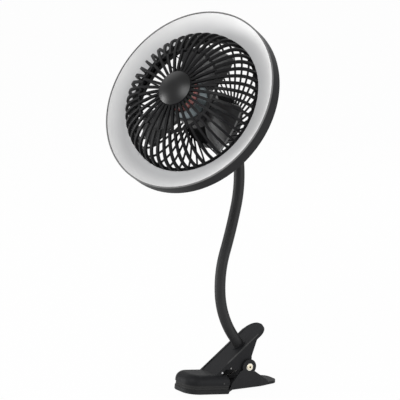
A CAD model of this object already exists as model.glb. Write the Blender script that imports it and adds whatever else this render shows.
"""Looks of a clip-on camping fan: the studio, then its pieces from the clamp up to the fan head."""
import math

import bmesh
import bpy
from mathutils import Matrix, Quaternion, Vector


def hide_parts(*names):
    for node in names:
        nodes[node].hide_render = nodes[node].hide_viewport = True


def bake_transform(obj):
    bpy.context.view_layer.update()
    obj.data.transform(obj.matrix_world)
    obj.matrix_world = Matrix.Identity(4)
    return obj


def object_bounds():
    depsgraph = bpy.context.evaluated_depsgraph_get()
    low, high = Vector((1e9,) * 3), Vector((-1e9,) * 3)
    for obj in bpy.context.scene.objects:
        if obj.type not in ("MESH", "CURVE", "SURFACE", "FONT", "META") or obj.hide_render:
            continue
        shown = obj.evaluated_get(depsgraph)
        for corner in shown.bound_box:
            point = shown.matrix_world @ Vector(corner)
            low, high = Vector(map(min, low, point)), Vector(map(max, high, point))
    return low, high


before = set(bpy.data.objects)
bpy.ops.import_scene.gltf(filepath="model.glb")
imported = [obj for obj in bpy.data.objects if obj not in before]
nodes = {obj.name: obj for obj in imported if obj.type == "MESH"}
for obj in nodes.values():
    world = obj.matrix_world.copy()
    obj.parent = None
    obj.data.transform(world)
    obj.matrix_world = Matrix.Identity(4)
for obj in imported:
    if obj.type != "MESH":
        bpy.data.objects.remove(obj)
cad_box = [list(corner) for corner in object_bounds()]
scene = bpy.context.scene
scene.view_settings.view_transform = "Standard"

# ---------------------------------------------------------------- camera
# A long lens on a stand, at the front left of the clamp and above the middle of the neck. It looks
# a little downwards, and shows the whole fan from clamp to ring.
eye = Vector((-1.12627, -1.80158, 0.57176))
camera_az, camera_el = math.radians(-32.0), math.radians(10.0)
look = -Vector((
    math.sin(camera_az) * math.cos(camera_el),
    -math.cos(camera_az) * math.cos(camera_el),
    math.sin(camera_el),
))
camera = bpy.data.objects.new("camera", bpy.data.cameras.new("camera"))
scene.collection.objects.link(camera)
camera.location = eye
camera.rotation_euler = look.to_track_quat("-Z", "Y").to_euler()
camera.data.sensor_width = 36.0
camera.data.lens = 187.1
camera.data.clip_end = 20.0
scene.camera = camera


# ---------------------------------------------------------------- studio
# A pale paper sweep under five soft boxes. The paper looks white by itself to the lens, and pale in
# polished metal, and still keeps a faint shadow of the fan.
class Tone:
    """One value of a finish, which can vary over its surface and takes part in Python sums."""

    def __init__(self, finish, socket):
        self.finish, self.socket = finish, socket

    def math(self, operation, *terms):
        return self.finish.node("Math", {"operation": operation}, terms)

    def __add__(self, other):
        return self.math("ADD", self, other)

    def __sub__(self, other):
        return self.math("SUBTRACT", self, other)

    def __rsub__(self, other):
        return self.math("SUBTRACT", other, self)

    def __mul__(self, other):
        return self.math("MULTIPLY", self, other)

    def __truediv__(self, other):
        return self.math("DIVIDE", self, other)

    def __gt__(self, other):
        return self.math("GREATER_THAN", self, other)

    __radd__, __rmul__ = __add__, __mul__

    def clamp(self):
        """The same value, kept from 0 to 1."""
        return self.finish.node("Math", {"operation": "ADD", "use_clamp": True}, (self, 0.0))


class Finish:
    """A material whose nodes are made by one method, node."""

    def __init__(self, name):
        self.material = bpy.data.materials.new(name)
        self.material.use_nodes = True
        self.tree = self.material.node_tree
        self.tree.nodes.clear()
        self.end = self.tree.nodes.new("ShaderNodeOutputMaterial")
        self.place = self.node("TexCoord", {}, {}, "Object")

    def node(self, kind, settings, values, out=0):
        """A node of that kind, its settings made first, then its sockets, given by name or order."""
        made = self.tree.nodes.new("ShaderNode" + kind)
        for key, value in settings.items():
            setattr(made, key, value)
        for key, value in values.items() if isinstance(values, dict) else enumerate(values):
            if isinstance(value, Tone):
                self.tree.links.new(value.socket, made.inputs[key])
            else:
                made.inputs[key].default_value = value
        return Tone(self, made.outputs[out])

    def noise(self, size, detail=2.0, stretch=(1, 1, 1), rough=0.5):
        """Cloudy pattern about 0.5, its patches about size metres across."""
        place = self.node("Mapping", {}, {"Vector": self.place, "Scale": stretch})
        values = {"Vector": place, "Scale": 1.0 / size, "Detail": detail, "Roughness": rough}
        return self.node("TexNoise", {}, values)

    def along(self, axis, start):
        """Distance in metres past a point, along an axis."""
        reach = self.node("VectorMath", {"operation": "DOT_PRODUCT"}, {0: self.place, 1: axis}, "Value")
        return reach - start.dot(axis)

    def mix(self, factor, dark, light):
        """Colour between two colours."""
        settings = {"data_type": "RGBA", "clamp_factor": True}
        return self.node("Mix", settings, {0: factor, 6: dark, 7: light}, 2)

    def bump(self, height, depth, strength):
        """Normal from a height pattern that rises depth metres."""
        values = {"Height": height, "Distance": depth, "Strength": strength}
        return self.node("Bump", {}, values, "Normal")

    def skin(self, **sockets):
        """Close the material with one principled surface."""
        names = {key.replace("_", " "): value for key, value in sockets.items()}
        surface = self.node("BsdfPrincipled", {}, names, "BSDF")
        self.tree.links.new(surface.socket, self.end.inputs["Surface"])
        return self.material


def grey(value):
    """Neutral colour."""
    return (value, value, value, 1)


def dress(material, *names):
    """Put a finish on CAD pieces."""
    for name in names:
        nodes[name].data.materials.clear()
        nodes[name].data.materials.append(material)


under_clamp = Matrix.Translation((0, 0, cad_box[0][2] - 0.0002))
sweep = bmesh.new()
bmesh.ops.create_grid(sweep, x_segments=1, y_segments=1, size=6.0, matrix=under_clamp)
floor = bpy.data.objects.new("floor", bpy.data.meshes.new("floor"))
sweep.to_mesh(floor.data)
sweep.free()
scene.collection.objects.link(floor)
ground = Finish("studio_floor")
paint = ground.node("BsdfDiffuse", {}, {"Color": grey(0.86)}, "BSDF")
glow = ground.node("Emission", {}, {"Color": grey(1.0), "Strength": 1.0}, "Emission")
seen = ground.node("LightPath", {}, {}, "Is Camera Ray")
mirrored = ground.node("LightPath", {}, {}, "Is Glossy Ray")
veil = (seen * 0.97 + mirrored * 0.3).clamp()
floor_skin = ground.node("MixShader", {}, {0: veil, 1: paint, 2: glow}, "Shader")
ground.tree.links.new(floor_skin.socket, ground.end.inputs["Surface"])
floor.data.materials.append(ground.material)

world = bpy.data.worlds.new("studio")
scene.world = world
world.use_nodes = True
air = world.node_tree
air.nodes.clear()
dim = air.nodes.new("ShaderNodeBackground")
dim.inputs["Color"].default_value = grey(1.0)
dim.inputs["Strength"].default_value = 0.50
bright = air.nodes.new("ShaderNodeBackground")
bright.inputs["Color"].default_value = grey(1.0)
bright.inputs["Strength"].default_value = 1.0
path = air.nodes.new("ShaderNodeLightPath")
blend_air = air.nodes.new("ShaderNodeMixShader")
air_out = air.nodes.new("ShaderNodeOutputWorld")
air.links.new(path.outputs["Is Camera Ray"], blend_air.inputs[0])
air.links.new(dim.outputs[0], blend_air.inputs[1])
air.links.new(bright.outputs[0], blend_air.inputs[2])
air.links.new(blend_air.outputs[0], air_out.inputs[0])


def soft_box(name, place, aim, size, power):
    """Square soft light that looks at a point."""
    lamp = bpy.data.objects.new(name, bpy.data.lights.new(name, "AREA"))
    lamp.data.size = size
    lamp.data.energy = power
    lamp.location = place
    lamp.rotation_euler = (Vector(aim) - Vector(place)).to_track_quat("-Z", "Y").to_euler()
    scene.collection.objects.link(lamp)


middle = (0.0, 0.0, 0.2)
soft_box("key", (-1.3, -0.9, 1.5), middle, 1.0, 18.0)
soft_box("fill", (0.9, -1.5, 0.25), middle, 1.2, 12.5)
soft_box("top", (-0.3, 1.3, 1.6), middle, 1.2, 4.0)
soft_box("rim", (1.2, 0.9, 0.9), middle, 0.9, 3.0)
soft_box("low", (-1.7, 1.2, 0.35), (0.0, 0.0, 0.3), 0.7, 18.0)

# ---------------------------------------------------------------- clamp levers
# Two levers moulded in black glass-filled nylon, which turn on one rivet. Their skin has the fine
# spark texture of the mould. The upper one's side flanges stand a little proud of its plate, so
# their edges are rubbed paler.
def moulded(plastic, cloud, colour, shine):
    """Close a black plastic with the mould's fine spark texture."""
    spark = plastic.noise(0.0006, 2.0, rough=0.7)
    return plastic.skin(
        Base_Color=colour,
        Roughness=0.46 + cloud * 0.14 + spark * 0.06,
        Specular_IOR_Level=shine,
        Normal=plastic.bump(spark, 0.00005, 0.6),
    )


nylon = Finish("black_nylon")
cloud = nylon.noise(0.018, 3.0)
nylon_tone = nylon.mix(cloud * 1.4 - 0.2, (0.0070, 0.0072, 0.0084, 1), (0.0125, 0.0128, 0.0142, 1))
black_nylon = moulded(nylon, cloud, nylon_tone, 0.24)
dress(black_nylon, "lower_lever")

plate_slope = math.radians(35)
plate_x, rivet_z = 0.0163, 0.0157
boot_end_x, boot_fade = 0.0235, 0.003
flange_y, edge_rise = 0.0131, 0.0004
lever = Finish("lever_black")
lever_cloud = lever.noise(0.018, 3.0)
plate_up = Vector((-math.sin(plate_slope), 0, math.cos(plate_slope)))
across = lever.along(Vector((0, 1, 0)), Vector((0, 0, 0)))
behind_boot = lever.along(Vector((1, 0, 0)), Vector((boot_end_x, 0, 0))) / boot_fade
on_flange = (across * across > flange_y ** 2) * behind_boot.clamp()
proud_edge = lever.along(plate_up, Vector((plate_x, 0, rivet_z))) / edge_rise
worn_edge = (proud_edge.clamp() * on_flange * (lever_cloud * 0.8 + 0.5)).clamp()
lever_tone = lever.mix(lever_cloud * 1.4 - 0.2, (0.0048, 0.0050, 0.0062, 1), (0.0088, 0.0091, 0.0107, 1))
lever_black = moulded(lever, lever_cloud, lever.mix(worn_edge, lever_tone, grey(0.045)), 0.21)
dress(lever_black, "upper_lever")

# ---------------------------------------------------------------- pads
# Soft rubber pads with shallow cross grooves, one moulded on each jaw. The rubber is duller than
# the nylon, and dust stays in its pores.
rubber = Finish("pad_rubber")
dust = rubber.noise(0.006, 5.0, rough=0.65)
pores = rubber.noise(0.0004, 2.0)
pad_rubber = rubber.skin(
    Base_Color=rubber.mix(dust * 1.8 - 0.5, grey(0.010), grey(0.024)),
    Roughness=0.72 + dust * 0.16,
    Normal=rubber.bump(pores, 0.00004, 0.7),
)
dress(pad_rubber, "lower_pad", "upper_pad")

# ---------------------------------------------------------------- rivet, pins and spring
# A hollow brass rivet with rolled ends holds the levers together, on nickel washers. A turned steel
# pin ties the boot to the flanges, blackened pins hold the pad's rim, and the spring is dark music
# wire round a nylon spool.
brass = Finish("worn_brass")
stain = brass.noise(0.0016, 4.0)
turning = brass.noise(0.0003, 2.0, (1, 8, 1))
worn_brass = brass.skin(
    Base_Color=brass.mix(stain * 1.6 - 0.3, (0.78, 0.68, 0.46, 1), (0.95, 0.91, 0.78, 1)),
    Roughness=0.22 + stain * 0.22,
    Metallic=1.0,
    Normal=brass.bump(turning, 0.00002, 0.5),
)
dress(worn_brass, "pivot_rivet")

nickel = Finish("warm_nickel")
haze = nickel.noise(0.002, 4.0)
warm_nickel = nickel.skin(
    Base_Color=nickel.mix(haze, (0.80, 0.77, 0.68, 1), (0.95, 0.93, 0.86, 1)),
    Roughness=0.18 + haze * 0.2,
    Metallic=1.0,
)
dress(warm_nickel, "rivet_washers")

steel = Finish("turned_steel")
lines = steel.noise(0.0004, 2.0, (1, 1, 9))
patch = steel.noise(0.005, 3.0)
turned_steel = steel.skin(
    Base_Color=steel.mix(patch, grey(0.46), (0.62, 0.62, 0.63, 1)),
    Roughness=0.24 + patch * 0.16 + lines * 0.08,
    Metallic=1.0,
    Normal=steel.bump(lines, 0.00001, 0.4),
)
dress(turned_steel, "boot_pin")

oxide = Finish("black_oxide")
worn = oxide.noise(0.0012, 3.0)
black_oxide = oxide.skin(
    Base_Color=oxide.mix(worn * 1.6 - 0.5, grey(0.03), grey(0.14)),
    Roughness=0.3 + worn * 0.2,
    Metallic=0.9,
)
dress(black_oxide, "pad_pins")

wire = Finish("spring_wire")
oil = wire.noise(0.003, 3.0)
draw = wire.noise(0.0002, 2.0)
spring_wire = wire.skin(
    Base_Color=wire.mix(oil, grey(0.20), (0.36, 0.35, 0.34, 1)),
    Roughness=0.28 + oil * 0.2,
    Metallic=1.0,
    Normal=wire.bump(draw, 0.00001, 0.4),
)
dress(spring_wire, "torsion_spring")
dress(black_nylon, "spring_spool")

# ---------------------------------------------------------------- neck
# A steel rod in a smooth soft-touch rubber sleeve, bent by hand into an S and hooked over at the
# top, with a stud and nut at each end. Each length of sleeve runs from the middle of one link to
# the middle of the next and bends at the joint between them.
neck_cores = [f"neck_core_{link}" for link in range(1, 5)]
dress(turned_steel, "neck_foot", "neck_washer", "neck_nut", *neck_cores, "neck_tail", "tail_nut")

neck_radius = 0.0058
sleeve_wall = 0.0014
seat_x = 0.0474
seat_depth = 0.006
neck_root = Vector((seat_x, 0.0, rivet_z + (seat_x - plate_x) * math.tan(plate_slope)))
lean = math.radians(6.6)
lean_up = Vector((0, math.sin(lean), math.cos(lean)))
lean_out = Vector((0, math.cos(lean), -math.sin(lean)))
yaw, lift = math.radians(23.5), math.radians(29.7)
fan_axis = Vector((-math.cos(lift) * math.cos(yaw), -math.cos(lift) * math.sin(yaw), math.sin(lift)))


def heading(degrees):
    """Direction in the neck's plane, at an angle from upright towards the handles."""
    return Vector((1, 0, 0)) * math.sin(math.radians(degrees)) + lean_up * math.cos(math.radians(degrees))


def run(angle_in, angle_out, length):
    """A bend in the neck's plane: start direction, bend axis, turn and length."""
    return (heading(angle_in), lean_out, math.radians(angle_out - angle_in), length)


root_length = 0.012
tail_length = 0.0115
hook_radius = 0.045
bend_angles = (-31.9, 1.4, 22.6, 17.7, 0.0)
link_lengths = (0.0483, 0.0447, 0.050, 0.044)
hook_start = heading(bend_angles[-1])
hook_axis = hook_start.cross(fan_axis).normalized()
hook_turn = hook_start.angle(fan_axis)
hook_length = hook_radius * hook_turn
hook_middle = Quaternion(hook_axis, hook_turn / 2) @ hook_start
links = [[run(bend_angles[0], bend_angles[0], seat_depth + root_length)]]
for angle_in, angle_out, length in zip(bend_angles, bend_angles[1:], link_lengths):
    links.append([run(angle_in, angle_out, length)])
links[-1].append((hook_start, hook_axis, hook_turn / 2, hook_length / 2))
links.append([
    (hook_middle, hook_axis, hook_turn / 2, hook_length / 2),
    (fan_axis, hook_axis, 0.0, tail_length),
])


def halves(piece):
    """Cut a run in the middle."""
    direction, axis, turn, length = piece
    later = Quaternion(axis, turn / 2) @ direction
    return (direction, axis, turn / 2, length / 2), (later, axis, turn / 2, length / 2)


def run_end(point, piece):
    """Where a run from a point ends."""
    direction, axis, turn, length = piece
    if abs(turn) < 1e-6:
        return point + direction * length
    centre = point + axis.cross(direction) * (length / turn)
    return centre + Quaternion(axis, turn) @ (point - centre)


def add_run(shape, ring, point, piece):
    """Carry a ring of edges along a run, and return the last ring and its place."""
    direction, axis, turn, length = piece
    steps = max(4, round(length / 0.0011))
    if abs(turn) < 1e-6:
        for _ in range(steps):
            grown = bmesh.ops.extrude_edge_only(shape, edges=ring)["geom"]
            moved = [part for part in grown if isinstance(part, bmesh.types.BMVert)]
            bmesh.ops.translate(shape, verts=moved, vec=direction * (length / steps))
            edges = [part for part in grown if isinstance(part, bmesh.types.BMEdge)]
            ring = [edge for edge in edges if all(vert in moved for vert in edge.verts)]
    else:
        centre = point + axis.cross(direction) * (length / turn)
        spun = bmesh.ops.spin(shape, geom=ring, cent=centre, axis=axis, angle=turn, steps=steps)
        ring = [part for part in spun["geom_last"] if isinstance(part, bmesh.types.BMEdge)]
    return ring, run_end(point, piece)


sleeve = Finish("neck_sleeve")
touch = sleeve.noise(0.012, 3.0)
silk = sleeve.noise(0.0005, 2.0)
neck_sleeve = sleeve.skin(
    Base_Color=sleeve.mix(touch * 1.4 - 0.2, grey(0.0125), (0.0185, 0.0185, 0.0200, 1)),
    Roughness=0.48 + touch * 0.12,
    Specular_IOR_Level=0.3,
    Normal=sleeve.bump(silk, 0.00003, 0.5),
)
bend_half = 0.008
last = len(link_lengths)
point = neck_root - heading(bend_angles[0]) * seat_depth
for joint in range(last + 1):
    before = [halves(links[joint][0])[1], *links[joint][1:]] if joint else links[0]
    after = [halves(links[joint + 1][0])[0]] if joint < last else links[joint + 1]
    shape = bmesh.new()
    facing = Matrix.Translation(point) @ before[0][0].to_track_quat("Z", "Y").to_matrix().to_4x4()
    bmesh.ops.create_circle(shape, segments=36, radius=neck_radius, matrix=facing)
    ring = shape.edges[:]
    for piece in before:
        ring, point = add_run(shape, ring, point, piece)
    bend_at, bend_reach = point.copy(), after[0][0] * bend_half
    for piece in after:
        ring, point = add_run(shape, ring, point, piece)
    bmesh.ops.remove_doubles(shape, verts=shape.verts, dist=1e-6)
    bmesh.ops.recalc_face_normals(shape, faces=shape.faces)
    for edge in shape.edges:
        edge.smooth = not edge.is_boundary
    sleeve_run = bpy.data.objects.new(f"neck_sleeve_run_{joint + 1}", bpy.data.meshes.new("sleeve"))
    shape.to_mesh(sleeve_run.data)
    shape.free()
    sleeve_run.data.shade_smooth()
    scene.collection.objects.link(sleeve_run)
    wall = sleeve_run.modifiers.new("wall", "SOLIDIFY")
    wall.thickness = sleeve_wall
    wall.offset = -1.0
    sleeve_run.data.materials.append(neck_sleeve)
    tuple(bend_at - bend_reach)
    tuple(bend_at + bend_reach)
    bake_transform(sleeve_run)
    covered = [f"neck_sleeve_{joint}"] if joint < last else ["neck_sleeve_4", "neck_sleeve_5"]
    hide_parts(*covered)

# ---------------------------------------------------------------- ring housing
# The light's rim and the back plate with its air throat, moulded in the same matte black as the
# hub. The rim's thin front lip is rubbed grey.
hub_to_face = 0.066
lip_width = 0.0008
ring_centre = point + fan_axis * hub_to_face
rim = Finish("rim_black")
rim_cloud = rim.noise(0.018, 3.0)
past_lip = rim.along(fan_axis, ring_centre) + lip_width / 2
rubbed_lip = (past_lip / lip_width + rim_cloud * 0.3 - 0.15).clamp()
rim_tone = rim.mix(rim_cloud * 1.4 - 0.2, (0.0056, 0.0058, 0.0068, 1), (0.0100, 0.0103, 0.0115, 1))
rim_black = moulded(rim, rim_cloud, rim.mix(rubbed_lip, rim_tone, grey(0.16)), 0.24)
dress(rim_black, "ring_housing")
dress(black_nylon, "ring_back")

# ---------------------------------------------------------------- light ring
# A milky diffuser moulded as a cove, over a white board ring of small yellow light-emitting diodes.
# The cove is duller towards its floor by the throat, and a little brighter towards one side.
cove_depth = 0.0099
ring_radius = 0.098
bright_side = Vector((0.60, -0.51, 0.615)).normalized()
milk = Finish("milky_diffuser")
sunk = milk.along(fan_axis, ring_centre) / -cove_depth
aside = milk.along(bright_side, ring_centre) / ring_radius
veins = milk.noise(0.03, 2.0)
frost = milk.noise(0.0005, 2.0)
shade = sunk * (sunk * 0.5 + 0.5) - aside * 0.16 + veins * 0.14 - 0.06
milky = milk.skin(
    Base_Color=milk.mix(shade, (0.93, 0.93, 0.928, 1), (0.46, 0.463, 0.47, 1)),
    Roughness=0.5 + veins * 0.1,
    Normal=milk.bump(frost, 0.00002, 0.4),
)
dress(milky, "light_diffuser")

board = Finish("white_board")
mask_cloud = board.noise(0.01, 2.0)
white_board = board.skin(
    Base_Color=board.mix(mask_cloud, grey(0.70), grey(0.80)),
    Roughness=0.45 + mask_cloud * 0.1,
)
dress(white_board, "led_board")

phosphor = Finish("phosphor")
grain = phosphor.noise(0.0004, 2.0)
yellow_phosphor = phosphor.skin(
    Base_Color=phosphor.mix(grain, (0.80, 0.70, 0.30, 1), (0.90, 0.84, 0.50, 1)),
    Roughness=0.3 + grain * 0.1,
)
dress(yellow_phosphor, "leds")

# ---------------------------------------------------------------- grilles
# Fine ribs moulded in black plastic, a front dome and a rear cage, with the bracket that holds the
# motor. The plain cap in the middle of the front is polished, and shines more than the ribs.
rib = Finish("grille_black")
swirl = rib.noise(0.02, 3.0)
mould = rib.noise(0.0008, 2.0)
grille_black = rib.skin(
    Base_Color=rib.mix(swirl * 1.4 - 0.2, (0.0034, 0.0034, 0.0040, 1), (0.0064, 0.0064, 0.0074, 1)),
    Roughness=0.40 + swirl * 0.14,
    Specular_IOR_Level=0.17,
    Normal=rib.bump(mould, 0.00003, 0.5),
)
dress(grille_black, "front_grille", "rear_grille", "motor_bracket")

lid = Finish("cap_black")
sheen = lid.noise(0.012, 3.0)
hairline = lid.noise(0.0007, 2.0)
cap_black = lid.skin(
    Base_Color=lid.mix(sheen, grey(0.0055), (0.0095, 0.0095, 0.0105, 1)),
    Roughness=0.26 + sheen * 0.10 + hairline * 0.04,
    Specular_IOR_Level=0.36,
)
dress(cap_black, "hub_cap")

# ---------------------------------------------------------------- motor
# A brushless motor: red enamelled coils on a coated stack of sheets, in a plated steel cup lined
# with ferrite magnets. Its steel shaft runs in two bearings, over a small green board.
dress(turned_steel, "motor_shaft", "motor_bearings", "motor_screws")

stack = Finish("coated_stack")
sheets = stack.noise(0.0003, 1.0, (1, 1, 12))
drips = stack.noise(0.0022, 3.0)
coated_stack = stack.skin(
    Base_Color=stack.mix(drips * 3.0 - 1.0 + sheets * 0.3, (0.50, 0.42, 0.42, 1), (0.58, 0.10, 0.08, 1)),
    Roughness=0.35 + sheets * 0.2,
)
dress(coated_stack, "motor_stator")

enamel = Finish("red_enamel")
turns = enamel.noise(0.0004, 2.0)
red_enamel = enamel.skin(
    Base_Color=enamel.mix(turns, (0.32, 0.045, 0.030, 1), (0.62, 0.14, 0.09, 1)),
    Roughness=0.3 + turns * 0.1,
    Normal=enamel.bump(turns, 0.0001, 0.8),
)
dress(red_enamel, "motor_windings")

cup = Finish("plated_cup")
bloom = cup.noise(0.006, 3.0)
plated_cup = cup.skin(
    Base_Color=cup.mix(bloom, (0.26, 0.31, 0.33, 1), (0.36, 0.42, 0.44, 1)),
    Roughness=0.32 + bloom * 0.16,
    Metallic=0.85,
)
dress(plated_cup, "motor_can")

magnet = Finish("ferrite")
specks = magnet.noise(0.001, 3.0)
ferrite = magnet.skin(Base_Color=magnet.mix(specks, grey(0.06), grey(0.11)), Roughness=0.6 + specks * 0.2)
dress(ferrite, "motor_magnets")

circuit = Finish("green_board")
traces = circuit.noise(0.0015, 1.0, (1, 6, 1))
green_board = circuit.skin(
    Base_Color=circuit.mix((traces > 0.55) * 0.8, (0.02, 0.14, 0.06, 1), (0.06, 0.30, 0.13, 1)),
    Roughness=0.32 + traces * 0.1,
)
dress(green_board, "motor_board")

# ---------------------------------------------------------------- rotor
# One satin black moulding of a hub and three broad blades, a little lighter than the grille, held
# on the shaft by a steel nut. The thin ends of the blades are scuffed pale.
blade_end = 0.0612
scuff_width = 0.0006
vane = Finish("satin_blade")
melt = vane.noise(0.03, 3.0, (1, 1, 0.4))
spoke = vane.node("VectorMath", {"operation": "SUBTRACT"}, {0: vane.place, 1: ring_centre}, "Vector")
swing = vane.node("VectorMath", {"operation": "CROSS_PRODUCT"}, {0: spoke, 1: fan_axis}, "Vector")
far = vane.node("VectorMath", {"operation": "LENGTH"}, {0: swing}, "Value")
thin_edge = ((far - blade_end) / scuff_width + melt * 0.4 - 0.2).clamp()
vane_tone = vane.mix(melt, grey(0.018), (0.030, 0.0303, 0.0322, 1))
satin_blade = vane.skin(Base_Color=vane.mix(thin_edge, vane_tone, grey(0.22)), Roughness=0.26 + melt * 0.14)
dress(satin_blade, "fan_rotor")
dress(turned_steel, "rotor_nut")

# ---------------------------------------------------------------- hub
# A nylon cover screwed over the battery pouch and the control board. Two keys over small switches
# and four light pipes show on it, and the charging socket opens in it.
dress(black_nylon, "hub_cover")
dress(black_oxide, "hub_screws")
dress(green_board, "control_board")

foil = Finish("battery_foil")
crease = foil.noise(0.004, 4.0)
battery_foil = foil.skin(
    Base_Color=foil.mix(crease, grey(0.52), (0.66, 0.67, 0.69, 1)),
    Roughness=0.3 + crease * 0.15,
    Metallic=0.9,
    Normal=foil.bump(crease, 0.0002, 0.4),
)
dress(battery_foil, "battery_cell")

key = Finish("key_plastic")
rubbed = key.noise(0.003, 3.0)
key_plastic = key.skin(Base_Color=key.mix(rubbed, grey(0.050), grey(0.075)), Roughness=0.30 + rubbed * 0.12)
dress(key_plastic, "fan_button", "light_button", "button_switches")

pipe = Finish("light_pipe")
depth = pipe.noise(0.001, 2.0)
light_pipe = pipe.skin(
    Base_Color=pipe.mix(depth, (0.55, 0.62, 0.68, 1), (0.80, 0.86, 0.90, 1)),
    Roughness=0.12 + depth * 0.06,
)
dress(light_pipe, "charge_lights")

socket_shell = Finish("port_shell")
scuff = socket_shell.noise(0.001, 4.0)
port_shell = socket_shell.skin(
    Base_Color=socket_shell.mix(scuff, grey(0.5), grey(0.72)),
    Roughness=0.2 + scuff * 0.2,
    Metallic=1.0,
)
dress(port_shell, "charge_port")
